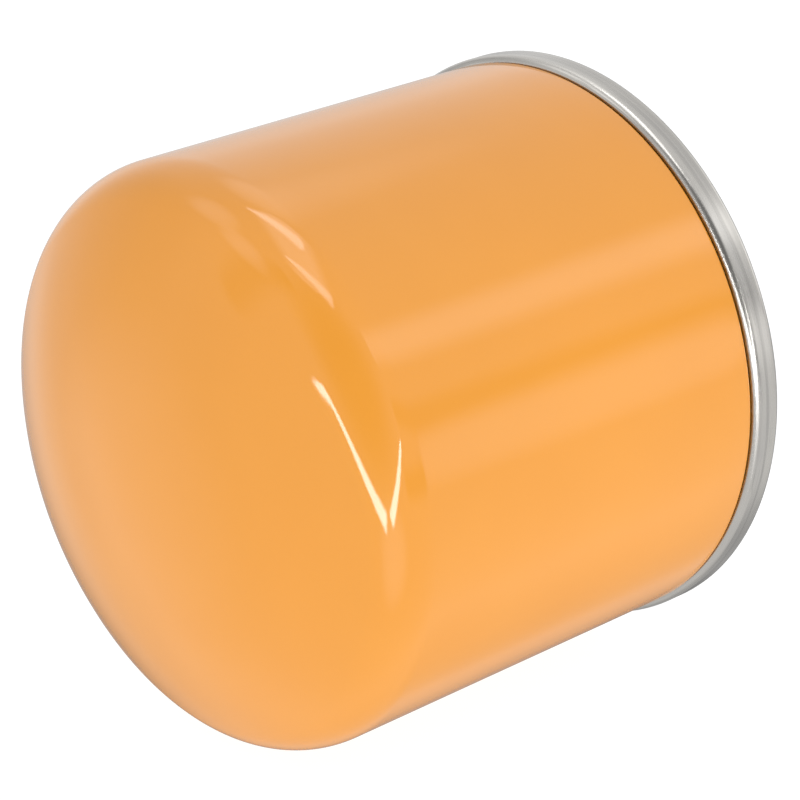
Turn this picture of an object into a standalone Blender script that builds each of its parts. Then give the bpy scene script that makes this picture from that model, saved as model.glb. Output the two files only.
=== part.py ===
"""Spin-on oil filter for a small engine, as an assembly of its separate pieces.

The filter lies on its side, as it hangs on a horizontal engine stud. The X axis is the stud's axis:
the engine is at +X, and the domed closed end of the can points to -X. The origin is the centre of the
gasket's sealing face. Every round piece is turned about the X axis from an outline of (depth, radius)
points in millimetres, where depth is the distance from the sealing face towards the dome.
"""

import math

import bmesh
import bpy

MM = 0.001

# Driving dimensions, in millimetres.
CAN_RADIUS = 37.25
CAN_WALL = 0.5
RIM_RADIUS = 38.0
RIM_HEIGHT = 4.2
COVER_SHEET = 0.4
SEAM_FOLD = 1.5
CAP_SHEET = 0.4
CLEARANCE = 0.3
GASKET_STANDS_PROUD = 1.4
STRAIGHT_SIDE = 56.8
CORNER_RADIUS = 8.5
CROWN_RADIUS = 62.0

GASKET_HEIGHT = 5.0
GASKET_OUTER_RADIUS = 34.3
GASKET_INNER_RADIUS = 30.7

PLATE_THICKNESS = 3.0
PLATE_RADIUS = 34.9
THREAD_MINOR_RADIUS = 8.75
HUB_RADIUS = 12.0
HUB_DEPTH = 11.5
INLET_HOLES = 8
INLET_HOLE_RADIUS = 3.2
INLET_CIRCLE_RADIUS = 19.4

VALVE_LIP_RADIUS = 25.7
VALVE_SLEEVE_RADIUS = 14.3
VALVE_SLEEVE_END = 16.9

ELEMENT_START = 18.4
ELEMENT_END = 61.6
ELEMENT_RADIUS = 33.4
CAP_SKIRT = 2.7
POTTING_THICKNESS = 1.2
PLEATS = 48
PLEAT_OUTER_RADIUS = 31.8
PLEAT_INNER_RADIUS = 13.9
PAPER_THICKNESS = 0.6
CORE_RADIUS = 13.5
CORE_WALL = 0.5
CORE_HOLE_RADIUS = 2.2
CORE_HOLE_ROWS = 5
CORE_HOLES_ACROSS = 3

BYPASS_ORIFICE_RADIUS = 6.0
BYPASS_SEAL_RADIUS = 8.5
BYPASS_CUP_RADIUS = 9.5
BYPASS_CAGE_RADIUS = 11.8
BYPASS_CAGE_LENGTH = 10.6
BYPASS_WIRE = 0.9
BYPASS_COIL_RADIUS = 6.5
BYPASS_TURNS = 4.5

SPRING_WIRE = 1.8
SPRING_COIL_RADIUS = 15.5
SPRING_TURNS = 2.75
SPRING_SEAT_RADIUS = 20.0

# Facets round the axis.
SHELL_FACETS = 36
INNER_FACETS = 28
SMALL_FACETS = 24
COIL_STEPS = 15
WIRE_SIDES = 6
SHARP_ANGLE = math.radians(32)

# Depths that follow from the driving dimensions.
RIM_FACE = GASKET_STANDS_PROUD
RIM_EDGE = RIM_FACE + RIM_HEIGHT
CORNER_DEPTH = RIM_FACE + STRAIGHT_SIDE
CORNER_CENTRE_RADIUS = CAN_RADIUS - CORNER_RADIUS
CENTRE_DISTANCE = CROWN_RADIUS - CORNER_RADIUS
CROWN_CENTRE = CORNER_DEPTH - math.sqrt(CENTRE_DISTANCE**2 - CORNER_CENTRE_RADIUS**2)
CROWN_START = 90 - math.degrees(math.asin(CORNER_CENTRE_RADIUS / CENTRE_DISTANCE))
CHANNEL_FLOOR = GASKET_HEIGHT + CLEARANCE
PLATE_FLANGE = CHANNEL_FLOOR + COVER_SHEET + CLEARANCE
COVER_LIP = RIM_FACE + 1.0
PLATE_FACE = COVER_LIP + COVER_SHEET + CLEARANCE


def clear_objects():
    """Remove whatever the scene holds."""
    for obj in list(bpy.data.objects):
        bpy.data.objects.remove(obj, do_unlink=True)


def finish(name, colour, roughness, metallic=0.0):
    """Make one Principled material."""
    material = bpy.data.materials.new(name)
    material.use_nodes = True
    shader = material.node_tree.nodes["Principled BSDF"]
    shader.inputs["Base Color"].default_value = (*colour, 1.0)
    shader.inputs["Roughness"].default_value = roughness
    shader.inputs["Metallic"].default_value = metallic
    material.diffuse_color = (*colour, 1.0)
    return material


def frame_empty(name, depth, parent=None):
    """Add an empty on the axis that a moving group hangs from."""
    empty = bpy.data.objects.new(name, None)
    bpy.context.scene.collection.objects.link(empty)
    empty.empty_display_size = 0.01
    hang(empty, depth, parent)
    return empty


def hang(obj, depth, parent):
    """Put an object's origin at a depth on the axis, under its parent."""
    parent_depth = parent["depth"] if parent else 0.0
    obj.parent = parent
    obj["depth"] = depth
    obj.location = (-(depth - parent_depth) * MM, 0.0, 0.0)


def add_piece(name, mesh_data, material, depth, parent):
    """Wrap a bmesh as a named object, shaded smooth with sharp edges kept."""
    bmesh.ops.remove_doubles(mesh_data, verts=mesh_data.verts, dist=1e-7)
    bmesh.ops.recalc_face_normals(mesh_data, faces=mesh_data.faces)
    mesh = bpy.data.meshes.new(name)
    mesh_data.to_mesh(mesh)
    mesh_data.free()
    mesh.shade_smooth()
    mesh.set_sharp_from_angle(angle=SHARP_ANGLE)
    mesh.materials.append(material)
    obj = bpy.data.objects.new(name, mesh)
    bpy.context.scene.collection.objects.link(obj)
    hang(obj, depth, parent)
    return obj


def turned(name, outline, facets, material, depth, parent, closed=True):
    """Turn an outline of (depth, radius) points about the X axis.

    A closed outline makes a ring. An open one starts and ends on the axis.
    """
    shape = bmesh.new()
    points = [shape.verts.new((-(d - depth) * MM, 0.0, r * MM)) for d, r in outline]
    edges = [shape.edges.new(pair) for pair in zip(points, points[1:])]
    if closed:
        edges.append(shape.edges.new((points[-1], points[0])))
    bmesh.ops.spin(
        shape,
        geom=points + edges,
        cent=(0.0, 0.0, 0.0),
        axis=(1.0, 0.0, 0.0),
        angle=math.tau,
        steps=facets,
        use_merge=True,
    )
    bmesh.ops.remove_doubles(shape, verts=shape.verts, dist=1e-6)
    return add_piece(name, shape, material, depth, parent)


def arc(depth, radius, bend, start, end, steps):
    """Points on a bend about (depth, radius).

    Angles are in degrees: 0 is away from the axis, 90 is towards the dome.
    """
    points = []
    for step in range(steps + 1):
        angle = math.radians(start + (end - start) * step / steps)
        points.append((depth + bend * math.sin(angle), radius + bend * math.cos(angle)))
    return points


def sheet(path, thickness):
    """Give a centre line the thickness of its sheet, as a closed outline."""
    normals = []
    for (d0, r0), (d1, r1) in zip(path, path[1:]):
        length = math.hypot(d1 - d0, r1 - r0)
        normals.append(((r1 - r0) / length, (d0 - d1) / length))
    sides = ([], [])
    for index, (d, r) in enumerate(path):
        before = normals[max(index - 1, 0)]
        after = normals[min(index, len(normals) - 1)]
        across = (before[0] + after[0], before[1] + after[1])
        stretch = thickness / (across[0] ** 2 + across[1] ** 2)
        if 0 < index < len(path) - 1:
            offset = (across[0] * stretch, across[1] * stretch)
        else:
            offset = (across[0] * thickness / 4, across[1] * thickness / 4)
        sides[0].append((d + offset[0], r + offset[1]))
        sides[1].append((d - offset[0], r - offset[1]))
    return sides[0] + sides[1][::-1]


def cut(obj, name, shape, depth):
    """Cut a hidden shape out of an object with an exact Boolean."""
    bmesh.ops.recalc_face_normals(shape, faces=shape.faces)
    mesh = bpy.data.meshes.new(name)
    shape.to_mesh(mesh)
    shape.free()
    cutter = bpy.data.objects.new(name, mesh)
    bpy.context.scene.collection.objects.link(cutter)
    hang(cutter, depth, obj.parent)
    cutter.hide_render = True
    cutter.display_type = "WIRE"
    boolean = obj.modifiers.new(name, "BOOLEAN")
    boolean.operation = "DIFFERENCE"
    boolean.solver = "EXACT"
    boolean.object = cutter


def prism(shape, centre, along, radius, half_length, sides):
    """Add a prism to a bmesh, in millimetres. along is 'X', or an angle in degrees round the X axis."""
    rings = []
    for end in (-half_length, half_length):
        ring = []
        for side in range(sides):
            angle = math.tau * (side + 0.5) / sides
            u = radius * math.cos(angle)
            v = radius * math.sin(angle)
            if along == "X":
                point = (end, u, v)
            else:
                across = math.cos(math.radians(along))
                up = math.sin(math.radians(along))
                point = (u, end * across - v * up, end * up + v * across)
            ring.append(shape.verts.new([(c + p) * MM for c, p in zip(centre, point)]))
        rings.append(ring)
    shape.faces.new(rings[0])
    shape.faces.new(rings[1])
    for side in range(sides):
        following = (side + 1) % sides
        shape.faces.new((rings[0][side], rings[0][following], rings[1][following], rings[1][side]))


def coil(name, start, end, coil_radius, wire, turns, material, parent):
    """Wind a compression spring about the X axis, from one depth to another, with closed ends."""
    shape = bmesh.new()
    first = start + wire / 2
    rise = end - start - wire
    steps = round(turns * COIL_STEPS)
    rings = []
    for step in range(steps + 1):
        share = step / steps
        climb = share - 0.5 * math.sin(math.tau * share) / math.tau
        angle = math.tau * turns * share
        depth = first + rise * climb
        ring = []
        for side in range(WIRE_SIDES):
            around = math.tau * side / WIRE_SIDES
            radius = coil_radius + 0.5 * wire * math.cos(around)
            x = -(depth - start + 0.5 * wire * math.sin(around)) * MM
            ring.append(shape.verts.new((x, radius * math.cos(angle) * MM, radius * math.sin(angle) * MM)))
        rings.append(ring)
    for ring, after in zip(rings, rings[1:]):
        for side in range(WIRE_SIDES):
            following = (side + 1) % WIRE_SIDES
            shape.faces.new((ring[side], ring[following], after[following], after[side]))
    shape.faces.new(rings[0])
    shape.faces.new(rings[-1])
    return add_piece(name, shape, material, start, parent)


def make_canister(paint, shell):
    """Drawn can: domed end, straight side, shoulder, neck, and the hook that the seam folds over."""
    half = CAN_WALL / 2
    hook_radius = RIM_RADIUS - COVER_SHEET - CLEARANCE - half
    neck_radius = hook_radius - SEAM_FOLD
    bend = SEAM_FOLD / 2
    bend_depth = RIM_FACE + 2.4
    shoulder = (CAN_RADIUS - half - neck_radius) / 2
    neck_end = RIM_EDGE - 0.31
    side_start = neck_end + 2 * shoulder

    def face(offset):
        """One face of the sheet, from the hook to the middle of the dome."""
        side = [(bend_depth + 0.7, hook_radius - offset)]
        side += arc(bend_depth, neck_radius + bend, bend - offset, 0, -180, 4)
        side += arc(neck_end, neck_radius + shoulder, shoulder - offset, 180, 90, 2)
        side += arc(side_start, neck_radius + shoulder, shoulder + offset, -90, 0, 2)
        side += arc(CORNER_DEPTH, CORNER_CENTRE_RADIUS, CORNER_RADIUS - half + offset, 0, CROWN_START, 4)
        side += arc(CROWN_CENTRE, 0.0, CROWN_RADIUS - half + offset, CROWN_START, 90, 3)[1:-1]
        side.append((CROWN_CENTRE + CROWN_RADIUS - half + offset, 0.0))
        return side

    outline = face(half)[::-1] + face(-half)
    return turned("canister", outline, SHELL_FACETS, paint, RIM_EDGE, shell, closed=False)


def make_seaming_cover(tinplate, shell):
    """Thin ring: inner lip on the plate, gasket channel, and the rolled double seam."""
    half = COVER_SHEET / 2
    lip_radius = 26.0
    inner_wall = GASKET_INNER_RADIUS - CLEARANCE - half
    chuck_wall = GASKET_OUTER_RADIUS + CLEARANCE + half
    outer_wall = RIM_RADIUS - half
    hook_wall = outer_wall - SEAM_FOLD
    curl = SEAM_FOLD / 2
    corner = 0.6
    fold = 0.4
    path = [(COVER_LIP + half, lip_radius)]
    path += arc(COVER_LIP + half + fold, inner_wall - fold, fold, -90, 0, 1)
    path += arc(CHANNEL_FLOOR + half - fold, inner_wall + fold, fold, 180, 90, 1)
    path += arc(CHANNEL_FLOOR + half - fold, chuck_wall - fold, fold, 90, 0, 1)
    path += arc(RIM_FACE + half + corner, chuck_wall + corner, corner, 180, 270, 2)
    path += arc(RIM_FACE + half + corner, outer_wall - corner, corner, -90, 0, 2)
    path += arc(RIM_EDGE - half - curl, outer_wall - curl, curl, 0, 180, 4)
    path.append((RIM_EDGE - half - curl - 0.8, hook_wall))
    return turned("seaming_cover", sheet(path, COVER_SHEET), SHELL_FACETS, tinplate, RIM_FACE, shell)


def make_seam_compound(compound, shell):
    """Ring of sealing compound in the top of the double seam."""
    start = RIM_FACE + COVER_SHEET + CLEARANCE
    end = start + 0.4
    outline = [(start, 35.7), (start, 36.9), (end, 36.9), (end, 35.7)]
    return turned("seam_compound", outline, SHELL_FACETS, compound, start, shell)


def make_tapping_plate(steel, shell):
    """Thick plate: raised centre, stepped flange, threaded hub and a ring of inlet holes."""
    step_radius = GASKET_INNER_RADIUS - 2 * CLEARANCE - COVER_SHEET
    back = PLATE_FACE + PLATE_THICKNESS
    flange_back = PLATE_FLANGE + PLATE_THICKNESS
    recess = step_radius - PLATE_THICKNESS
    edge = 0.5
    mouth = 1.1
    bore = THREAD_MINOR_RADIUS
    outline = [
        (PLATE_FACE + mouth, bore),
        (PLATE_FACE, bore + mouth),
        (PLATE_FACE, step_radius - edge),
        (PLATE_FACE + edge, step_radius),
        (PLATE_FLANGE, step_radius),
        (PLATE_FLANGE, PLATE_RADIUS - edge),
        (PLATE_FLANGE + edge, PLATE_RADIUS),
        (flange_back, PLATE_RADIUS),
        (flange_back, recess + edge),
        (flange_back - edge, recess),
        (back, recess),
        (back, HUB_RADIUS + edge),
        (back + edge, HUB_RADIUS),
        (HUB_DEPTH - edge, HUB_RADIUS),
        (HUB_DEPTH, HUB_RADIUS - edge),
        (HUB_DEPTH, bore + edge),
        (HUB_DEPTH - edge, bore),
    ]
    plate = turned("tapping_plate", outline, SHELL_FACETS, steel, PLATE_FACE, shell)
    holes = bmesh.new()
    for hole in range(INLET_HOLES):
        angle = math.tau * (hole + 0.5) / INLET_HOLES
        centre = (0.0, INLET_CIRCLE_RADIUS * math.cos(angle), INLET_CIRCLE_RADIUS * math.sin(angle))
        prism(holes, centre, "X", INLET_HOLE_RADIUS, 2 * PLATE_THICKNESS, 12)
    cut(plate, "inlet_hole_cutter", holes, PLATE_FACE + PLATE_THICKNESS / 2)
    return plate


def make_mounting_gasket(rubber, shell):
    """Square-section ring that seals against the engine."""
    edge = 0.35
    inner = GASKET_INNER_RADIUS
    outer = GASKET_OUTER_RADIUS
    outline = [
        (edge, inner),
        (0.0, inner + edge),
        (0.0, outer - edge),
        (edge, outer),
        (GASKET_HEIGHT, outer),
        (GASKET_HEIGHT, inner),
    ]
    return turned("mounting_gasket", outline, SHELL_FACETS, rubber, 0.0, shell)


def make_anti_drainback_valve(rubber, parent):
    """Moulded rubber valve: a sleeve round the hub, and a conical lip that rests on the plate."""
    plate_back = PLATE_FACE + PLATE_THICKNESS
    seat = plate_back + CLEARANCE
    bore = HUB_RADIUS + CLEARANCE
    lip = VALVE_LIP_RADIUS
    sleeve = VALVE_SLEEVE_RADIUS
    outline = [
        (seat + 2.9, bore),
        (seat + 2.9, sleeve - 0.3),
        (seat + 0.2, lip - 1.7),
        (seat, lip - 1.4),
        (seat, lip - 0.4),
        (seat + 0.5, lip),
        (seat + 1.2, lip - 0.5),
        (seat + 4.3, sleeve + 1.0),
        (seat + 5.3, sleeve),
        (VALVE_SLEEVE_END, sleeve),
        (VALVE_SLEEVE_END, bore),
    ]
    return turned("anti_drainback_valve", outline, INNER_FACETS, rubber, seat, parent)


def make_end_caps(plated, element):
    """Stamped caps at both ends of the cartridge."""
    half = CAP_SHEET / 2
    skirt = ELEMENT_RADIUS - half
    bend = 0.4
    collar = HUB_RADIUS - half
    collar_start = HUB_DEPTH + 2 * CLEARANCE
    disc = ELEMENT_START + half
    path = [(collar_start, collar)]
    path += arc(disc - bend, collar + bend, bend, 180, 90, 2)
    path += arc(disc + bend, skirt - bend, bend, -90, 0, 2)
    path.append((disc + CAP_SKIRT, skirt))
    lower = turned("lower_end_cap", sheet(path, CAP_SHEET), INNER_FACETS, plated, ELEMENT_START, element)
    disc = ELEMENT_END - half
    path = [(disc, BYPASS_ORIFICE_RADIUS + 3.0)]
    path += arc(disc - bend, skirt - bend, bend, 90, 0, 2)
    path.append((disc - CAP_SKIRT, skirt))
    upper = turned("upper_end_cap", sheet(path, CAP_SHEET), INNER_FACETS, plated, ELEMENT_END, element)
    return lower, upper


def make_potting(adhesive, element):
    """Discs of adhesive that hold the pleats in both caps."""
    inner = CORE_RADIUS + CLEARANCE
    outer = ELEMENT_RADIUS - CAP_SHEET - 2 * CLEARANCE
    starts = (
        ("lower_potting", ELEMENT_START + CAP_SHEET + CLEARANCE),
        ("upper_potting", ELEMENT_END - CAP_SHEET - CLEARANCE - POTTING_THICKNESS),
    )
    for name, start in starts:
        end = start + POTTING_THICKNESS
        outline = [(start, inner), (start, outer), (end, outer), (end, inner)]
        turned(name, outline, INNER_FACETS, adhesive, start, element)


def media_span():
    """Depths where the pleats start and end, between the two discs of adhesive."""
    potting = CAP_SHEET + 2 * CLEARANCE + POTTING_THICKNESS
    return ELEMENT_START + potting, ELEMENT_END - potting


def make_center_tube(plated, element):
    """Perforated core."""
    start = ELEMENT_START + CAP_SHEET + CLEARANCE
    end = ELEMENT_END - CAP_SHEET - CLEARANCE
    inner = CORE_RADIUS - CORE_WALL
    outline = [(start, inner), (start, CORE_RADIUS), (end, CORE_RADIUS), (end, inner)]
    tube = turned("center_tube", outline, SMALL_FACETS, plated, start, element)
    first, last = media_span()
    pitch = (last - first) / CORE_HOLE_ROWS
    holes = bmesh.new()
    for row in range(CORE_HOLE_ROWS):
        depth = first + pitch * (row + 0.5)
        for across in range(CORE_HOLES_ACROSS):
            angle = 180.0 * (across + 0.5 * (row % 2)) / CORE_HOLES_ACROSS
            prism(holes, (start - depth, 0.0, 0.0), angle + 3.75, CORE_HOLE_RADIUS, CORE_RADIUS + 2, 6)
    cut(tube, "core_hole_cutter", holes, start)
    return tube


def make_pleated_media(paper, element):
    """Ring of pleats: one closed ribbon, folded at the outside and at the inside."""
    start, end = media_span()
    step = math.tau / PLEATS
    outer_half = PAPER_THICKNESS / PLEAT_OUTER_RADIUS
    inner_half = PAPER_THICKNESS / PLEAT_INNER_RADIUS
    outer_fold = PLEAT_OUTER_RADIUS - 1.2 * PAPER_THICKNESS
    inner_fold = PLEAT_INNER_RADIUS + 1.2 * PAPER_THICKNESS
    shape = bmesh.new()
    ends = []
    for depth in (start, end):
        rows = []
        for pleat in range(PLEATS):
            tip = pleat * step
            root = tip + step / 2
            corners = (
                (PLEAT_OUTER_RADIUS, tip - outer_half),
                (PLEAT_OUTER_RADIUS, tip + outer_half),
                (inner_fold, root),
                (outer_fold, tip),
                (PLEAT_INNER_RADIUS, root - inner_half),
                (PLEAT_INNER_RADIUS, root + inner_half),
            )
            row = []
            for radius, angle in corners:
                y = radius * math.cos(angle) * MM
                z = radius * math.sin(angle) * MM
                row.append(shape.verts.new((-(depth - start) * MM, y, z)))
            rows.append(row)
        ends.append(rows)
    for pleat in range(PLEATS):
        following = (pleat + 1) % PLEATS
        for rows in ends:
            left, right, valley, crest, near, far = rows[pleat]
            next_left = rows[following][0]
            next_crest = rows[following][3]
            shape.faces.new((left, right, crest))
            shape.faces.new((right, valley, near, crest))
            shape.faces.new((valley, far, near))
            shape.faces.new((valley, next_left, next_crest, far))
        front, back = ends[0][pleat], ends[1][pleat]
        for a, b in ((0, 1), (1, 2), (3, 4), (4, 5)):
            shape.faces.new((front[a], front[b], back[b], back[a]))
        for a, b in ((2, 0), (5, 3)):
            shape.faces.new((front[a], ends[0][following][b], ends[1][following][b], back[a]))
    return add_piece("pleated_media", shape, paper, start, element)


def make_media_seam_clip(plated, element):
    """Channel folded over the pleat where the two ends of the pack meet."""
    start, end = media_span()
    inside = PLEAT_OUTER_RADIUS + CLEARANCE
    outside = inside + CAP_SHEET
    root = PLEAT_OUTER_RADIUS - 4.2
    half = PAPER_THICKNESS + 0.9
    outline = [
        (half, root),
        (half, inside),
        (-half, inside),
        (-half, root),
        (-half - CAP_SHEET, root),
        (-half - CAP_SHEET, outside),
        (half + CAP_SHEET, outside),
        (half + CAP_SHEET, root),
    ]
    shape = bmesh.new()
    rings = []
    for depth in (0.0, end - start):
        rings.append([shape.verts.new((-depth * MM, r * MM, side * MM)) for side, r in outline])
    for index in range(len(outline)):
        following = (index + 1) % len(outline)
        shape.faces.new((rings[0][index], rings[0][following], rings[1][following], rings[1][index]))
    for ring in rings:
        for corners in ((0, 7, 6, 1), (1, 6, 5, 2), (2, 5, 4, 3)):
            shape.faces.new([ring[corner] for corner in corners])
    return add_piece("media_seam_clip", shape, plated, start, element)


def make_bypass_valve(plated, rubber, spring_steel, element, valve):
    """Relief valve in the upper cap: orifice, seal, cup, spring and the cage that holds them."""
    seat_end = ELEMENT_END - CAP_SHEET - CLEARANCE
    seat_start = seat_end - CAP_SHEET
    outer = CORE_RADIUS - CORE_WALL - CLEARANCE
    outline = [
        (seat_start, BYPASS_ORIFICE_RADIUS),
        (seat_start, outer),
        (seat_end, outer),
        (seat_end, BYPASS_ORIFICE_RADIUS),
    ]
    turned("bypass_seat", outline, SMALL_FACETS, plated, seat_end, element)

    half = CAP_SHEET / 2
    flange = seat_start - CLEARANCE - half
    wall = BYPASS_CAGE_RADIUS - half
    floor = flange - BYPASS_CAGE_LENGTH + half
    bend = 0.5
    path = [(flange, outer), (flange, wall), (floor + bend, wall)]
    path += arc(floor + bend, wall - bend, bend, 0, -90, 2)[1:]
    path.append((floor, 3.5))
    cage = turned("bypass_cage", sheet(path, CAP_SHEET), SMALL_FACETS, plated, floor, element)
    windows = bmesh.new()
    for angle in (45.0, 135.0):
        middle = floor - (floor + flange) / 2
        prism(windows, (middle, 0.0, 0.0), angle, 4.4, BYPASS_CAGE_RADIUS + 2, 4)
    cut(cage, "cage_window_cutter", windows, floor)

    seal_end = seat_start - CLEARANCE
    seal_start = seal_end - 1.2
    outline = [
        (seal_start, 0.0),
        (seal_start, BYPASS_SEAL_RADIUS),
        (seal_end, BYPASS_SEAL_RADIUS),
        (seal_end, 0.0),
    ]
    turned("bypass_seal", outline, SMALL_FACETS, rubber, seal_end, valve, closed=False)

    cup_end = seal_start - CLEARANCE
    cup_start = cup_end - 2.4
    outline = [
        (cup_end - CAP_SHEET - 0.8, 0.0),
        (cup_end - CAP_SHEET - 0.8, 3.6),
        (cup_end - CAP_SHEET, 4.6),
        (cup_end - CAP_SHEET, BYPASS_CUP_RADIUS - CAP_SHEET),
        (cup_start, BYPASS_CUP_RADIUS - CAP_SHEET),
        (cup_start, BYPASS_CUP_RADIUS),
        (cup_end, BYPASS_CUP_RADIUS),
        (cup_end, 0.0),
    ]
    turned("bypass_poppet", outline, SMALL_FACETS, plated, cup_end, valve, closed=False)

    start = floor + half + CLEARANCE
    end = cup_end - CAP_SHEET - CLEARANCE
    coil("bypass_spring", start, end, BYPASS_COIL_RADIUS, BYPASS_WIRE, BYPASS_TURNS, spring_steel, element)


def make_element_spring(plated, spring_steel, element, shell):
    """Coil spring between the domed end and the cartridge, and the ring that centres it."""
    start = ELEMENT_END + CLEARANCE
    collar = 12.0
    outline = [
        (start, collar),
        (start, SPRING_SEAT_RADIUS),
        (start + CAP_SHEET, SPRING_SEAT_RADIUS),
        (start + CAP_SHEET, collar + CAP_SHEET),
        (start + 2.6, collar + CAP_SHEET),
        (start + 2.6, collar),
    ]
    turned("element_spring_seat", outline, SMALL_FACETS, plated, start, element)
    inside = CROWN_RADIUS - CAN_WALL
    edge = SPRING_COIL_RADIUS + SPRING_WIRE / 2
    end = CROWN_CENTRE + math.sqrt(inside**2 - edge**2) - CLEARANCE
    start += CAP_SHEET + CLEARANCE
    coil("element_spring", start, end, SPRING_COIL_RADIUS, SPRING_WIRE, SPRING_TURNS, spring_steel, shell)


def main():
    """Build the filter."""
    clear_objects()
    paint = finish("orange_gloss_paint", (0.93, 0.36, 0.06), 0.22)
    tinplate = finish("tinned_steel", (0.62, 0.61, 0.58), 0.28, 1.0)
    plate_steel = finish("bare_plate_steel", (0.42, 0.41, 0.39), 0.42, 1.0)
    plated = finish("zinc_plated_sheet", (0.60, 0.60, 0.58), 0.35, 1.0)
    spring_steel = finish("spring_steel", (0.33, 0.33, 0.34), 0.35, 1.0)
    rubber = finish("black_nitrile", (0.02, 0.02, 0.02), 0.55)
    valve_rubber = finish("valve_rubber", (0.03, 0.03, 0.032), 0.6)
    compound = finish("seam_compound", (0.70, 0.68, 0.60), 0.7)
    adhesive = finish("plastisol", (0.55, 0.16, 0.10), 0.5)
    paper = finish("filter_paper", (0.80, 0.66, 0.40), 0.85)

    shell = frame_empty("shell_frame", 0.0)
    check_valve = frame_empty("check_valve_frame", PLATE_FACE + PLATE_THICKNESS, shell)
    element = frame_empty("element_frame", ELEMENT_START, shell)
    bypass = frame_empty("bypass_frame", ELEMENT_END, element)

    make_canister(paint, shell)
    make_seaming_cover(tinplate, shell)
    make_seam_compound(compound, shell)
    make_tapping_plate(plate_steel, shell)
    make_mounting_gasket(rubber, shell)
    make_anti_drainback_valve(valve_rubber, check_valve)
    make_end_caps(plated, element)
    make_potting(adhesive, element)
    make_center_tube(plated, element)
    make_pleated_media(paper, element)
    make_media_seam_clip(plated, element)
    make_bypass_valve(plated, rubber, spring_steel, element, bypass)
    make_element_spring(plated, spring_steel, element, shell)


if __name__ == "__main__":
    main()
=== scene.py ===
"""A spin-on oil filter for a small engine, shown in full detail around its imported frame.

The X axis is the axis of the engine's stud. The engine is at +X, the domed end of the can points to -X,
and the origin is the centre of the gasket's sealing face. Round pieces are turned about the X axis from
outlines of (depth, radius) points in millimetres, where depth runs from the sealing face to the dome.
"""

import logging
from collections.abc import Callable, Sequence
from dataclasses import dataclass, field
from enum import Enum
from math import asin, ceil, cos, degrees, hypot, pi, radians, sin, sqrt, tan, tau

import bmesh
import bpy
from mathutils import Matrix, Vector


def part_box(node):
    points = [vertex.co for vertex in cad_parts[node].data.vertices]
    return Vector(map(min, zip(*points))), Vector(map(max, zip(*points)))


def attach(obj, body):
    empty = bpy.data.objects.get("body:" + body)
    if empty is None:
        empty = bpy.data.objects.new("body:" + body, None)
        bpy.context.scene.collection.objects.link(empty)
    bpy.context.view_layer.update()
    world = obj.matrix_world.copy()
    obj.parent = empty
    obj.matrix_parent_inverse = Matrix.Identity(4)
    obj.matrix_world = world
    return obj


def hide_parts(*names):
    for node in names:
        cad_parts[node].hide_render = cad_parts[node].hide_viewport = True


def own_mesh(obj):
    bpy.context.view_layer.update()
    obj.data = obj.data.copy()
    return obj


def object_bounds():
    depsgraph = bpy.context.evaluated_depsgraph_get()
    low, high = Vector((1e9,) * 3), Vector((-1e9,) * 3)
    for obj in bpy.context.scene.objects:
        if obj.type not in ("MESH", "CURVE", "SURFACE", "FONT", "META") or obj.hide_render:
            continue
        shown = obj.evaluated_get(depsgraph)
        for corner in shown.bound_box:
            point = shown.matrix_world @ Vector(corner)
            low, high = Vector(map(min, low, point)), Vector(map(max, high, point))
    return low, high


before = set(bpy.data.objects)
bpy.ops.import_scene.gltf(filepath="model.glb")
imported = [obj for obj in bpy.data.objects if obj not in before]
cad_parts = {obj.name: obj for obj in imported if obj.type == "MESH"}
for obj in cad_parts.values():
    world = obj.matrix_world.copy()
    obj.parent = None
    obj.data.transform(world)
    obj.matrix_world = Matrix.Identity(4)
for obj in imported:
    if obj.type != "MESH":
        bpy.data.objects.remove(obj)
CAD_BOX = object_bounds()

LOG = logging.getLogger("oil_filter")
MM = 0.001
CLEARANCE = 0.3

Solid = bmesh.types.BMesh
Point = tuple[float, float]
Colour = tuple[float, float, float]
Triple = tuple[float, float, float]
Options = dict[int | str, object] | None
Shaper = Callable[[float, float, float], Point]


class Body(Enum):
    """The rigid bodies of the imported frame."""

    SHELL = "shell"
    CHECK_VALVE = "check_valve"
    ELEMENT = "element"
    RELIEF_VALVE = "bypass_valve"


class Slot(Enum):
    """The material slots that the pieces take their finish from."""

    CAN_PAINT = "can_paint"
    TINNED_STEEL = "tinned_steel"
    PLATE_STEEL = "plate_steel"
    PLATED_SHEET = "plated_sheet"
    SPRING_STEEL = "spring_steel"
    GASKET_RUBBER = "gasket_rubber"
    VALVE_RUBBER = "valve_rubber"
    SEAM_COMPOUND = "seam_compound"
    ADHESIVE = "adhesive"
    FILTER_PAPER = "filter_paper"


# Shader maths.


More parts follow.
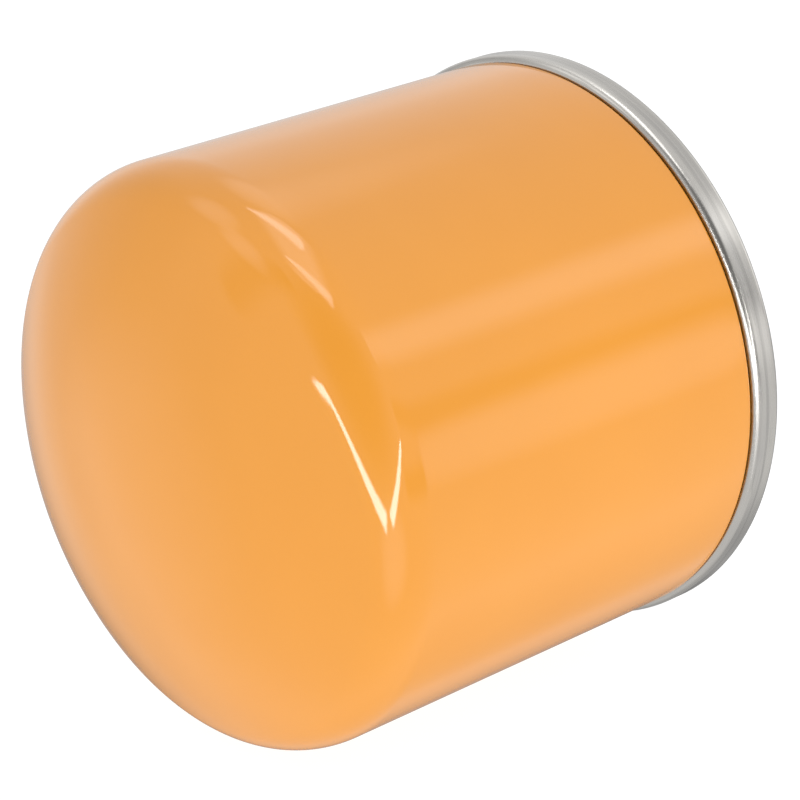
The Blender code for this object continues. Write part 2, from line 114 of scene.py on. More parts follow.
class Signal:
    """One output socket of a node, with the arithmetic that shader maths is written in."""

    def __init__(self, bench: "Bench", socket: bpy.types.NodeSocket) -> None:
        """Keep the socket and the bench that it belongs to."""
        self.bench = bench
        self.socket = socket

    def _math(self, operation: str, first: "Value", second: "Value") -> "Signal":
        """Add one Math node.

        Args:
            operation: The Math node's operation.
            first, second: Its two values or links.

        Returns:
            The node's result.
        """
        return self.bench.node("ShaderNodeMath", {"operation": operation}, {0: first, 1: second})

    def __add__(self, other: "Value") -> "Signal":
        """Add a value or a signal."""
        return self._math("ADD", self, other)

    def __radd__(self, other: "Value") -> "Signal":
        """Add this signal to a value."""
        return self._math("ADD", other, self)

    def __sub__(self, other: "Value") -> "Signal":
        """Subtract a value or a signal."""
        return self._math("SUBTRACT", self, other)

    def __rsub__(self, other: "Value") -> "Signal":
        """Subtract this signal from a value."""
        return self._math("SUBTRACT", other, self)

    def __mul__(self, other: "Value") -> "Signal":
        """Multiply by a value or a signal."""
        return self._math("MULTIPLY", self, other)

    def __rmul__(self, other: "Value") -> "Signal":
        """Multiply a value by this signal."""
        return self._math("MULTIPLY", other, self)

    def __pow__(self, other: "Value") -> "Signal":
        """Raise to a power."""
        return self._math("POWER", self, other)


Value = float | Signal


class Bench:
    """The node tree of one material or of the surround, and the nodes that finishes are made of."""

    def __init__(self, tree: bpy.types.NodeTree, shader: str = "Principled BSDF") -> None:
        """Keep the tree and find its shader."""
        self.tree = tree
        self.shader = tree.nodes[shader]

    def node(
        self, kind: str, settings: Options = None, inputs: Options = None, output: int | str = 0
    ) -> Signal:
        """Add any node.

        Args:
            kind: The node's type.
            settings: Its settings, which are set first.
            inputs: The values or signals of its sockets, by index or name.
            output: The output that is wanted, by index or name.

        Returns:
            The wanted output.
        """
        node = self.tree.nodes.new(kind)
        for key, value in (settings or {}).items():
            setattr(node, key, value)
        for key, value in (inputs or {}).items():
            self.feed(node.inputs[key], value)
        return Signal(self, node.outputs[output])

    def feed(self, socket: bpy.types.NodeSocket, value: object) -> None:
        """Link or set one socket.

        Args:
            socket: The socket.
            value: A signal to link, a colour, a vector or a number.
        """
        if isinstance(value, Signal):
            self.tree.links.new(value.socket, socket)
        elif socket.type == "RGBA" and len(value) == 3:
            socket.default_value = (*value, 1.0)
        else:
            socket.default_value = value

    def dress(self, **sockets: object) -> None:
        """Set the shader's sockets, named with underscores for spaces."""
        for name, value in sockets.items():
            self.feed(self.shader.inputs[name.replace("_", " ").title()], value)

    def place(self) -> Signal:
        """Give the point on the piece, in metres, which moves with the piece."""
        return self.node("ShaderNodeTexCoord", output="Object")

    def split(self, vector: Signal) -> tuple[Signal, Signal, Signal]:
        """Take a vector apart.

        Args:
            vector: The vector.

        Returns:
            Its X, Y and Z.
        """
        outputs = self.node("ShaderNodeSeparateXYZ", None, {0: vector}).socket.node.outputs
        return tuple(Signal(self, output) for output in outputs)

    def stretched(self, place: Signal, factors: Triple) -> Signal:
        """Scale a vector by a factor for each axis."""
        return self.node("ShaderNodeVectorMath", {"operation": "MULTIPLY"}, {0: place, 1: factors})

    def dot(self, vector: Signal, other: Triple) -> Signal:
        """Give the dot product of a vector and a fixed one."""
        return self.node("ShaderNodeVectorMath", {"operation": "DOT_PRODUCT"}, {0: vector, 1: other}, "Value")

    def ringed(self, place: Signal, across: float, along: float) -> Signal:
        """Give coordinates in which noise turns into rings about the X axis.

        Args:
            place: The point on the piece.
            across, along: Scales across and along the rings.

        Returns:
            The coordinates.
        """
        x, y, z = self.split(place)
        radius = (y * y + z * z) ** 0.5
        inputs = {0: x * across + y * along, 1: radius * across + z * along, 2: y * along - z * along}
        return self.node("ShaderNodeCombineXYZ", None, inputs)

    def noise(self, place: Signal, scale: float, detail: float = 2.0, roughness: float = 0.5) -> Signal:
        """Add noise, from 0 to 1.

        Args:
            place, scale: Its coordinates and their scale.
            detail, roughness: Its octaves, and how strong the finer ones are.

        Returns:
            The noise.
        """
        inputs = {"Vector": place, "Scale": scale, "Detail": detail, "Roughness": roughness}
        return self.node("ShaderNodeTexNoise", None, inputs)

    def cells(self, place: Signal, scale: float, output: str = "Distance") -> Signal:
        """Add Voronoi cells: the distance to the nearest point, or the cell's colour."""
        return self.node("ShaderNodeTexVoronoi", None, {"Vector": place, "Scale": scale}, output)

    def span(self, value: Signal, low: float, high: float) -> Signal:
        """Map a value to 0 at low and 1 at high, smoothly.

        Args:
            value: The value.
            low, high: Where it starts to rise and where it is full.

        Returns:
            The mapped value.
        """
        if low < high:
            settings = {"interpolation_type": "SMOOTHSTEP"}
            return self.node("ShaderNodeMapRange", settings, {0: value, 1: low, 2: high})
        return 1.0 - self.span(value, high, low)

    def mix(self, factor: Value, first: object, second: object) -> Signal:
        """Mix two colours.

        Args:
            factor: The share of the second.
            first, second: The colours or signals.

        Returns:
            The mixed colour.
        """
        return self.node("ShaderNodeMix", {"data_type": "RGBA"}, {0: factor, 6: first, 7: second}, 2)

    def bump(self, height: Signal, distance: float, under: Signal | None = None) -> Signal:
        """Turn a height into a normal.

        Args:
            height: The height, from 0 to 1.
            distance: What a height of 1 stands for, in metres.
            under: A normal that this one is laid on.

        Returns:
            The normal.
        """
        inputs = {"Height": height, "Distance": distance} | ({"Normal": under} if under else {})
        return self.node("ShaderNodeBump", None, inputs)


# Finishes.


def shade(colour: Colour, factor: float) -> Colour:
    """Lighten or darken a colour by a factor."""
    return tuple(min(channel * factor, 1.0) for channel in colour)


@dataclass(frozen=True)
class Finish:
    """What every finish states, and how it becomes a material."""

    name: str
    slot: Slot | None
    colour: Colour
    roughness: float
    metallic: float = 0.0

    def material(self) -> bpy.types.Material:
        """Make the material, once.

        Returns:
            The material.
        """
        made = bpy.data.materials.get(self.name)
        if made is None:
            made = bpy.data.materials.new(self.name)
            made.use_nodes = True
            made.diffuse_color = (*self.colour, 1.0)
            bench = Bench(made.node_tree)
            bench.dress(base_color=self.colour, roughness=self.roughness, metallic=self.metallic)
            self.dress(bench)
        return made

    def dress(self, bench: Bench) -> None:
        """Add what varies over the surface, which each finish does in its own way."""
        raise NotImplementedError(self.name)


@dataclass(frozen=True)
class GlossPaint(Finish):
    """Sprayed and baked gloss paint: faint orange peel, a little drift in colour and a few dust nibs."""

    peel_scale: float = 620.0
    peel_height: float = 0.0000035
    nib_size: float = 0.016

    def dress(self, bench: Bench) -> None:
        """Dress the paint.

        Args:
            bench: The material's nodes.
        """
        place = bench.place()
        drift = bench.noise(place, 24.0, 3.0)
        cloud = bench.noise(place, 95.0, 3.0)
        grain = bench.noise(place, 2600.0, 2.0)
        kept = bench.span(bench.noise(place, 31.0, 0.0), 0.53, 0.57)
        nibs = bench.span(bench.cells(place, 62.0), self.nib_size, self.nib_size * 0.4) * kept
        tone = bench.mix(bench.span(drift, 0.3, 0.7), shade(self.colour, 0.955), self.colour)
        tone = bench.mix(cloud * 0.12, tone, (self.colour[0], self.colour[1] * 1.2, self.colour[2] * 2.2))
        tone = bench.mix(grain * 0.06, tone, shade(self.colour, 0.72))
        tone = bench.mix(nibs * 0.75, tone, (0.34, 0.09, 0.012))
        swell = bench.bump(bench.noise(place, 70.0, 1.0), 0.00004)
        peel = bench.bump(bench.noise(place, self.peel_scale, 2.0), self.peel_height, swell)
        normal = bench.bump(nibs, 0.00002, peel)
        bench.dress(
            base_color=tone, roughness=self.roughness + (cloud - 0.5) * 0.05 + nibs * 0.2, normal=normal,
        )


@dataclass(frozen=True)
class RolledTinplate(Finish):
    """Bright tinned sheet with the faint rings that seaming rolls and the chuck leave."""

    streak_height: float = 0.0000025

    def dress(self, bench: Bench) -> None:
        """Dress the tinplate.

        Args:
            bench: The material's nodes.
        """
        place = bench.place()
        rings = bench.noise(bench.ringed(place, 2600.0, 26.0), 1.0, 3.0, 0.6)
        broad = bench.noise(bench.ringed(place, 620.0, 60.0), 1.0, 2.0)
        cloud = bench.noise(place, 120.0, 4.0, 0.6)
        scuffs = bench.span(bench.noise(bench.ringed(place, 5200.0, 150.0), 1.0, 2.0), 0.62, 0.72)
        tone = bench.mix(cloud, shade(self.colour, 0.9), shade(self.colour, 1.08))
        tone = bench.mix(broad * 0.35, tone, (0.66, 0.63, 0.57))
        tone = bench.mix(scuffs * 0.3, tone, shade(self.colour, 0.62))
        worn = bench.span(bench.noise(bench.ringed(place, 1100.0, 14.0), 1.0, 3.0), 0.46, 0.66)
        tone = bench.mix(worn * 0.45, tone, shade(self.colour, 0.66))
        lift = bench.bump(broad, self.streak_height * 3.0)
        bench.dress(
            base_color=tone,
            roughness=self.roughness + (rings - 0.5) * 0.16 + (cloud - 0.5) * 0.12 + scuffs * 0.1,
            normal=bench.bump(rings, self.streak_height, lift),
        )


@dataclass(frozen=True)
class StampedPlate(Finish):
    """Bare stamped plate: mill grain along one way, an oil film in blotches and a few handling marks."""

    grain_height: float = 0.000009

    def dress(self, bench: Bench) -> None:
        """Dress the plate.

        Args:
            bench: The material's nodes.
        """
        place = bench.place()
        grain = bench.noise(bench.stretched(place, (900.0, 60.0, 1900.0)), 1.0, 4.0, 0.65)
        pits = bench.noise(place, 1500.0, 3.0, 0.6)
        oil = bench.span(bench.noise(place, 85.0, 4.0, 0.55), 0.4, 0.62)
        marks = bench.span(bench.noise(bench.stretched(place, (40.0, 900.0, 140.0)), 1.0, 2.0), 0.66, 0.72)
        tone = bench.mix(grain, shade(self.colour, 0.72), shade(self.colour, 1.3))
        tone = bench.mix(oil * 0.35, tone, (0.3, 0.27, 0.22))
        tone = bench.mix(marks * 0.4, tone, (0.62, 0.61, 0.59))
        fine = bench.bump(pits, self.grain_height * 0.7)
        bench.dress(
            base_color=tone, roughness=self.roughness + (pits - 0.5) * 0.22 - oil * 0.12,
            normal=bench.bump(grain, self.grain_height, fine),
        )


@dataclass(frozen=True)
class PlatedSheet(Finish):
    """Thin zinc-plated sheet, drawn and pressed: fine crystals and a soft cloud."""

    crystal_scale: float = 900.0

    def dress(self, bench: Bench) -> None:
        """Dress the sheet.

        Args:
            bench: The material's nodes.
        """
        place = bench.place()
        crystals = bench.cells(place, self.crystal_scale, "Color")
        facet = bench.split(crystals)[0]
        cloud = bench.noise(place, 160.0, 4.0, 0.6)
        tone = bench.mix(facet * 0.4 + cloud * 0.6, shade(self.colour, 0.84), shade(self.colour, 1.14))
        bench.dress(
            base_color=tone, roughness=self.roughness + (cloud - 0.5) * 0.2 + (facet - 0.5) * 0.08,
            normal=bench.bump(bench.noise(place, 1300.0, 3.0), 0.000006),
        )


@dataclass(frozen=True)
class SpringWire(Finish):
    """Drawn and blued spring wire with faint die lines."""

    def dress(self, bench: Bench) -> None:
        """Dress the wire.

        Args:
            bench: The material's nodes.
        """
        place = bench.place()
        lines = bench.noise(bench.ringed(place, 4200.0, 60.0), 1.0, 2.0)
        stain = bench.noise(place, 300.0, 3.0)
        tone = bench.mix(stain, shade(self.colour, 0.7), (0.4, 0.38, 0.36))
        bench.dress(
            base_color=tone, roughness=self.roughness + (lines - 0.5) * 0.25,
            normal=bench.bump(lines, 0.000006),
        )


@dataclass(frozen=True)
class MouldedRubber(Finish):
    """Moulded black rubber: a matt skin, mould grain and a trace of talc."""

    talc: float = 0.5
    grain_height: float = 0.000012

    def dress(self, bench: Bench) -> None:
        """Dress the rubber.

        Args:
            bench: The material's nodes.
        """
        place = bench.place()
        skin = bench.noise(place, 1700.0, 4.0, 0.65)
        dust = bench.span(bench.noise(place, 240.0, 5.0, 0.7), 0.5, 0.75)
        tone = bench.mix(dust * skin * self.talc, self.colour, (0.16, 0.16, 0.155))
        bench.dress(
            base_color=tone, roughness=self.roughness + (skin - 0.5) * 0.2 + dust * 0.12,
            normal=bench.bump(skin, self.grain_height),
        )


@dataclass(frozen=True)
class CuredPaste(Finish):
    """A paste that has set: soft lumps, small pits with painted shade in them, and an uneven tone."""

    lump_scale: float = 420.0
    lump_height: float = 0.00005

    def dress(self, bench: Bench) -> None:
        """Dress the paste.

        Args:
            bench: The material's nodes.
        """
        place = bench.place()
        lumps = bench.noise(place, self.lump_scale, 3.0)
        pits = bench.span(bench.cells(place, self.lump_scale * 1.7), 0.22, 0.12)
        tone = bench.mix(lumps, shade(self.colour, 0.75), shade(self.colour, 1.2))
        # painted shade: the pits are drawn at half the paste's colour, as if shaded
        tone = bench.mix(pits * 0.5, tone, shade(self.colour, 0.5))
        soft = bench.bump(lumps, self.lump_height)
        bench.dress(
            base_color=tone, roughness=self.roughness + (lumps - 0.5) * 0.2,
            normal=bench.bump(1.0 - pits, self.lump_height * 0.4, soft),
        )


@dataclass(frozen=True)
class PleatPaper(Finish):
    """Resin-cured filter paper: fibres laid every way and a patchy tone."""

    fibre_height: float = 0.00003

    def dress(self, bench: Bench) -> None:
        """Dress the paper.

        Args:
            bench: The material's nodes.
        """
        place = bench.place()
        warp = bench.noise(bench.stretched(place, (300.0, 2600.0, 2600.0)), 1.0, 3.0, 0.6)
        weft = bench.noise(bench.stretched(place, (2600.0, 500.0, 500.0)), 1.0, 3.0, 0.6)
        fibres = warp * 0.5 + weft * 0.5
        patch = bench.noise(place, 130.0, 3.0)
        tone = bench.mix(fibres, shade(self.colour, 0.76), shade(self.colour, 1.16))
        tone = bench.mix(patch * 0.35, tone, (0.66, 0.46, 0.22))
        bench.dress(
            base_color=tone, roughness=self.roughness + (fibres - 0.5) * 0.15,
            normal=bench.bump(fibres, self.fibre_height),
        )


@dataclass(frozen=True)
class StudioPaper(Finish):
    """Plain white floor sheet, lit from behind."""

    glow: float = 0.95

    def dress(self, bench: Bench) -> None:
        """Dress the floor.

        Args:
            bench: The material's nodes.
        """
        tooth = bench.noise(bench.place(), 350.0, 3.0)
        tone = bench.mix(tooth * 0.04, self.colour, shade(self.colour, 0.9))
        bench.dress(base_color=tone, normal=bench.bump(tooth, 0.00002))
        bench.dress(emission_color=(1.0, 1.0, 1.0), emission_strength=self.glow)


CAN_PAINT = GlossPaint("orange_gloss_paint", Slot.CAN_PAINT, (0.92, 0.36, 0.035), 0.045)
TINPLATE = RolledTinplate("bright_tinplate", Slot.TINNED_STEEL, (0.37, 0.36, 0.345), 0.26, 1.0)
PLATE_STEEL = StampedPlate("stamped_plate_steel", Slot.PLATE_STEEL, (0.42, 0.41, 0.39), 0.42, 1.0)
PLATED_SHEET = PlatedSheet("zinc_plated_sheet", Slot.PLATED_SHEET, (0.6, 0.6, 0.58), 0.32, 1.0)
SPRING_WIRE = SpringWire("drawn_spring_wire", Slot.SPRING_STEEL, (0.33, 0.33, 0.34), 0.34, 1.0)
GASKET_RUBBER = MouldedRubber("black_nitrile", Slot.GASKET_RUBBER, (0.02, 0.02, 0.02), 0.5, 0.0, 0.35)
VALVE_RUBBER = MouldedRubber("black_valve_rubber", Slot.VALVE_RUBBER, (0.03, 0.03, 0.032), 0.58, 0.0, 0.6)
SEAM_COMPOUND = CuredPaste("seam_compound", Slot.SEAM_COMPOUND, (0.7, 0.68, 0.6), 0.7, 0.0)
ADHESIVE = CuredPaste("red_plastisol", Slot.ADHESIVE, (0.55, 0.16, 0.1), 0.48, 0.0, 260.0, 0.00008)
FILTER_PAPER = PleatPaper("pleated_filter_paper", Slot.FILTER_PAPER, (0.8, 0.66, 0.4), 0.84)
STUDIO_PAPER = StudioPaper("white_floor", None, (0.15, 0.15, 0.15), 0.85)


# Outlines and turned meshes.


def arc(depth: float, radius: float, bend: float, start: float, end: float, steps: int) -> list[Point]:
    """Give points on a bend; 0 degrees is away from the axis and 90 is towards the dome.

    Args:
        depth, radius: Where the bend's centre is.
        bend: The bend's own radius.
        start, end: First and last angle, in degrees.
        steps: How many chords it has.

    Returns:
        The points, both ends included.
    """
    points = []
    for step in range(steps + 1):
        angle = radians(start + (end - start) * step / steps)
        points.append((depth + bend * sin(angle), radius + bend * cos(angle)))
    return points


def sheet(path: Sequence[Point], thickness: float) -> list[Point]:
    """Give a centre line the thickness of its sheet.

    Args:
        path: The centre line.
        thickness: The sheet's thickness.

    Returns:
        A closed outline.
    """
    normals = []
    for (d0, r0), (d1, r1) in zip(path, path[1:]):
        length = hypot(d1 - d0, r1 - r0)
        normals.append(((r1 - r0) / length, (d0 - d1) / length))
    near, far = [], []
    for index, (depth, radius) in enumerate(path):
        before, after = normals[max(index - 1, 0)], normals[min(index, len(normals) - 1)]
        across = (before[0] + after[0], before[1] + after[1])
        reach = thickness / (across[0] ** 2 + across[1] ** 2)
        if index in (0, len(path) - 1):
            reach = thickness / 4
        near.append((depth + across[0] * reach, radius + across[1] * reach))
        far.append((depth - across[0] * reach, radius - across[1] * reach))
    return near + far[::-1]


def rounded(corners: Sequence[Point], fillet: float, steps: int = 4) -> list[Point]:
    """Round every corner of a closed outline.

    Args:
        corners: The sharp outline.
        fillet: The radius wanted at each corner; short edges get less.
        steps: Chords in each rounded corner.

    Returns:
        The rounded outline.
    """
    points = []
    for index, corner in enumerate(corners):
        here = Vector(corner)
        back = Vector(corners[index - 1]) - here
        ahead = Vector(corners[(index + 1) % len(corners)]) - here
        half = back.angle(ahead) / 2
        reach = min(fillet / tan(half), 0.48 * back.length, 0.48 * ahead.length)
        bend = reach * tan(half)
        centre = here + (back.normalized() + ahead.normalized()).normalized() * (bend / sin(half))
        first = here + back.normalized() * reach - centre
        last = here + ahead.normalized() * reach - centre
        for step in range(steps + 1):
            points.append(tuple(centre + first.slerp(last, step / steps) * bend))
    return points


def band(start: float, end: float, inner: float, outer: float) -> list[Point]:
    """Give the four corners of a plain ring, from its two depths and its two radii."""
    return [(start, inner), (start, outer), (end, outer), (end, inner)]


def spaced(outline: Sequence[Point], longest: float, closed: bool = True) -> list[Point]:
    """Divide long edges of an outline.

    Args:
        outline: The outline.
        longest: The longest edge that may stay.
        closed: Whether its last point joins its first.

    Returns:
        The outline with points added.
    """
    points = []
    ends = list(outline[1:]) + ([outline[0]] if closed else [])
    for (d0, r0), (d1, r1) in zip(outline, ends):
        parts = max(1, ceil(hypot(d1 - d0, r1 - r0) / longest))
        points += [(d0 + (d1 - d0) * part / parts, r0 + (r1 - r0) * part / parts) for part in range(parts)]
    return points if closed else points + [outline[-1]]


def stitched(made: Solid, row: Sequence[bmesh.types.BMVert], after: Sequence[bmesh.types.BMVert]) -> None:
    """Join two closed rows of points with faces; a row that is one point over and over becomes a tip.

    Args:
        made: The mesh.
        row, after: The two rows.
    """
    for here, there, corner, back in zip(row, row[1:] + row[:1], after[1:] + after[:1], after):
        made.faces.new(list(dict.fromkeys((here, there, corner, back))))


def turned(outline: Sequence[Point], around: int, closed: bool = True, shaper: Shaper | None = None) -> Solid:
    """Turn an outline about the X axis.

    Args:
        outline: The (depth, radius) points; an open outline starts and ends on the axis.
        around: How many faces go round.
        closed: Whether the last point joins the first, which makes a ring.
        shaper: Moves each point, given its depth, radius and angle from +Z.

    Returns:
        The mesh, in metres.
    """
    made = bmesh.new()
    rows = []
    for depth, radius in outline:
        if radius < 1e-6:
            rows.append([made.verts.new((-depth * MM, 0.0, 0.0))] * around)
            continue
        row = []
        for step in range(around):
            angle = tau * step / around
            d, r = shaper(depth, radius, angle) if shaper else (depth, radius)
            row.append(made.verts.new((-d * MM, r * sin(angle) * MM, r * cos(angle) * MM)))
        rows.append(row)
    pairs = list(zip(rows, rows[1:])) + ([(rows[-1], rows[0])] if closed else [])
    for row, after in pairs:
        stitched(made, row, after)
    return made


def coiled(
    start: float, end: float, coil_radius: float, wire: float, turns: float, steps: int, sides: int
) -> Solid:
    """Wind a compression spring about the X axis, its end coils closing up and ground flat.

    Args:
        start, end: Depths of its two ends.
        coil_radius, wire: Radius to the middle of the wire, and the wire's diameter.
        turns, steps, sides: Number of turns, steps in each turn and sides of the wire.

    Returns:
        The mesh, in metres.
    """
    made = bmesh.new()
    rows = []
    ground = 0.12 * wire
    count = round(turns * steps)
    for step in range(count + 1):
        share = step / count
        climb = share - 0.5 * sin(tau * share) / tau
        angle = tau * turns * share
        depth = start + wire / 2 + (end - start - wire) * climb
        row = []
        for side in range(sides):
            round_wire = tau * side / sides
            radius = coil_radius + 0.5 * wire * cos(round_wire)
            d = min(max(depth + 0.5 * wire * sin(round_wire), start + ground), end - ground)
            row.append(made.verts.new((-d * MM, radius * cos(angle) * MM, radius * sin(angle) * MM)))
        rows.append(row)
    for row, after in zip(rows, rows[1:]):
        stitched(made, row, after)
    made.faces.new(rows[0])
    made.faces.new(rows[-1][::-1])
    return made


def placed(name: str, shape: Solid) -> bpy.types.Object:
    """Put a mesh into the scene.

    Args:
        name: The object's name.
        shape: Its mesh; it is used up.

    Returns:
        The object.
    """
    mesh = bpy.data.meshes.new(name)
    shape.to_mesh(mesh)
    shape.free()
    made = bpy.data.objects.new(name, mesh)
    bpy.context.scene.collection.objects.link(made)
    return made


def swung(tool: Solid, angle: float, depth: float, radius: float) -> Solid:
    """Put a cutting tool on the wall of a tube.

    Args:
        tool: The tool, made at the origin and pointing along Z.
        angle: Its angle from +Z, in radians.
        depth, radius: Its depth and its distance from the axis.

    Returns:
        The same tool, moved.
    """
    matrix = Matrix.Rotation(angle, 4, "X") @ Matrix.Translation((-depth * MM, 0.0, radius * MM))
    bmesh.ops.transform(tool, matrix=matrix, verts=tool.verts)
    return tool


def carved(shape: Solid, tools: Sequence[Solid]) -> Solid:
    """Cut tools out of a shape, all in one cut.

    Args:
        shape: What is cut; it is used up.
        tools: What is cut away; they stay clear of each other and are used up.

    Returns:
        The cut mesh.
    """
    cutter = bmesh.new()
    for tool in tools:
        bmesh.ops.recalc_face_normals(tool, faces=tool.faces)
        mesh = bpy.data.meshes.new("tool")
        tool.to_mesh(mesh)
        tool.free()
        cutter.from_mesh(mesh)
        bpy.data.meshes.remove(mesh)
    bmesh.ops.recalc_face_normals(shape, faces=shape.faces)
    objects = [placed("blank", shape), placed("cutter", cutter)]
    cut = objects[0].modifiers.new("cut", "BOOLEAN")
    cut.operation, cut.solver, cut.object = "DIFFERENCE", "EXACT", objects[1]
    evaluated = objects[0].evaluated_get(bpy.context.evaluated_depsgraph_get())
    made = bmesh.new()
    made.from_mesh(evaluated.to_mesh())
    evaluated.to_mesh_clear()
    for obj in objects:
        mesh = obj.data
        bpy.data.objects.remove(obj)
        bpy.data.meshes.remove(mesh)
    return made


def show(
    name: str, shape: Solid, finish: Finish, body: Body, node: str, sharp: float = 34.0, flats: bool = False
) -> bpy.types.Object:
    """Make one piece of the model, which stands for a CAD node and rides on its body.

    Args:
        name, shape, finish: The piece's name, its mesh, which is used up, and its finish.
        body, node: The body that it rides on and the CAD node that it stands for.
        sharp: Edges over this angle stay sharp, in degrees.
        flats: Whether its flat faces keep an even shade up to their rounded edges.

    Returns:
        The piece.
    """
    bmesh.ops.recalc_face_normals(shape, faces=shape.faces)
    open_edges = sum(1 for edge in shape.edges if not edge.is_manifold)
    piece = placed(name, shape)
    mesh = piece.data
    mesh.shade_smooth()
    mesh.set_sharp_from_angle(angle=radians(sharp))
    mesh.materials.append(finish.material())
    if flats:
        piece.modifiers.new("even_flats", "WEIGHTED_NORMAL").keep_sharp = True
    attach(piece, body.value)
    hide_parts(node)
    low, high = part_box(node)
    corners = [Vector(corner) for corner in piece.bound_box]
    past = [max(low[k] - c[k], c[k] - high[k]) for c in corners for k in range(3)]
    report = "%s: %d faces, %s, for %s on %s, %.2f mm past its box, %d open edges"
    LOG.info(report, name, len(mesh.polygons), finish.name, node, body.value, max(past) / MM, open_edges)
    return piece


# Sub-assemblies.


@dataclass
class DrawnCan:
    """The painted can: domed end, straight side, shoulder, neck and the hook inside the seam."""

    radius: float = 37.25
    wall: float = 0.5
    corner_depth: float = 58.2
    corner_radius: float = 8.5
    crown_radius: float = 62.0
    hook_radius: float = 37.05
    fold: float = 1.5
    bend_depth: float = 3.8
    neck_end: float = 5.55
    shoulder: float = 0.35
    around: int = 240

    def face(self, offset: float) -> list[Point]:
        """Give one face of the sheet, from the hook to the middle of the dome.

        Args:
            offset: Distance from the middle of the sheet, outwards.

        Returns:
            The open outline.
        """
        half = self.wall / 2
        neck = self.hook_radius - self.fold
        bend = self.fold / 2
        shoulder, wall = self.shoulder, self.radius - half
        corner_centre = self.radius - self.corner_radius
        apart = self.crown_radius - self.corner_radius
        crown_centre = self.corner_depth - sqrt(apart**2 - corner_centre**2)
        meet = 90 - degrees(asin(corner_centre / apart))
        side_start = self.neck_end + 2 * shoulder
        line = [(self.bend_depth + 0.7, self.hook_radius - offset)]
        line += arc(self.bend_depth, neck + bend, bend - offset, 0, -180, 12)
        line += arc(self.neck_end, neck + shoulder, shoulder - offset, 180, 90, 6)
        line += arc(side_start, wall - shoulder, shoulder + offset, -90, 0, 10)
        side = spaced([line[-1], (self.corner_depth, wall + offset)], 4.0, False)
        line += side[1:-1]
        line += arc(self.corner_depth, corner_centre, self.corner_radius - half + offset, 0, meet, 20)
        line += arc(crown_centre, 0.0, self.crown_radius - half + offset, meet, 90, 22)[1:-1]
        line.append((crown_centre + self.crown_radius - half + offset, 0.0))
        return line

    def build(self) -> None:
        """Build the can and dress it in paint."""
        half = self.wall / 2
        shape = turned(self.face(half)[::-1] + self.face(-half), self.around, closed=False)
        show("painted_can", shape, CAN_PAINT, Body.SHELL, "canister")


@dataclass
class SeamedCover:
    """The thin cover ring: welded inner lip, gasket channel and the rolled double seam with its compound."""

    face_depth: float = 1.4
    edge_depth: float = 5.6
    outer_radius: float = 38.0
    gauge: float = 0.4
    fold: float = 1.5
    lip_depth: float = 2.4
    lip_radius: float = 26.0
    channel_floor: float = 5.3
    gasket_inner: float = 30.7
    gasket_outer: float = 34.3
    welds: int = 8
    weld_radius: float = 27.9
    weld_size: float = 1.35
    weld_dent: float = 0.26
    roll_pull: float = 0.025
    bead: tuple[float, float, float] = (35.7, 36.9, 0.4)
    around: int = 360

    def centre_line(self) -> list[Point]:
        """Give the middle of the sheet, from the lip to the cover hook.

        Returns:
            The open outline.
        """
        half, fold, corner, curl = self.gauge / 2, 0.45, 0.7, self.fold / 2
        inner = self.gasket_inner - CLEARANCE - half
        chuck = self.gasket_outer + CLEARANCE + half
        outer = self.outer_radius - half
        floor = self.channel_floor + half
        line = [(self.lip_depth + half, self.lip_radius)]
        line += arc(self.lip_depth + half + fold, inner - fold, fold, -90, 0, 5)
        line += arc(floor - fold, inner + fold, fold, 180, 90, 5)
        line += arc(floor - fold, chuck - fold, fold, 90, 0, 5)
        line += arc(self.face_depth + half + corner, chuck + corner, corner, 180, 270, 6)
        line += arc(self.face_depth + half + corner, outer - corner, corner, -90, 0, 6)
        line += arc(self.edge_depth - half - curl, outer - curl, curl, 0, 180, 16)
        line.append((self.edge_depth - half - curl - 0.8, outer - self.fold))
        return line

    def pressed(self, depth: float, radius: float, angle: float) -> Point:
        """Press the weld marks into the lip, and the uneven pull of the rolls into the outer wall.

        Args:
            depth, radius, angle: Where a point is, with its angle from +Z.

        Returns:
            The moved point.
        """
        if radius < self.gasket_inner - 1.2:
            step = tau / self.welds
            nearest = round(angle / step) * step
            away = hypot(radius * sin(angle - nearest), radius * cos(angle - nearest) - self.weld_radius)
            inside = max(0.0, 1 - away / self.weld_size)
            depth += self.weld_dent * inside * inside * (3 - 2 * inside)
        elif radius > self.outer_radius - 0.6:
            pull = 0.5 - 0.5 * cos(9 * angle) * cos(2 * angle)
            radius -= self.roll_pull * pull * sin(pi * min(1.0, (depth - self.face_depth) / 4.2))
        return depth, radius

    def build(self) -> None:
        """Build the cover and its ring of compound."""
        outline = spaced(sheet(self.centre_line(), self.gauge), 0.42)
        shape = turned(outline, self.around, shaper=self.pressed)
        show("seamed_cover", shape, TINPLATE, Body.SHELL, "seaming_cover")
        start = self.face_depth + self.gauge + CLEARANCE
        inner, outer, height = self.bead
        ring = rounded(band(start, start + height, inner, outer), 0.15)
        show("seam_compound_bead", turned(ring, 144), SEAM_COMPOUND, Body.SHELL, "seam_compound")


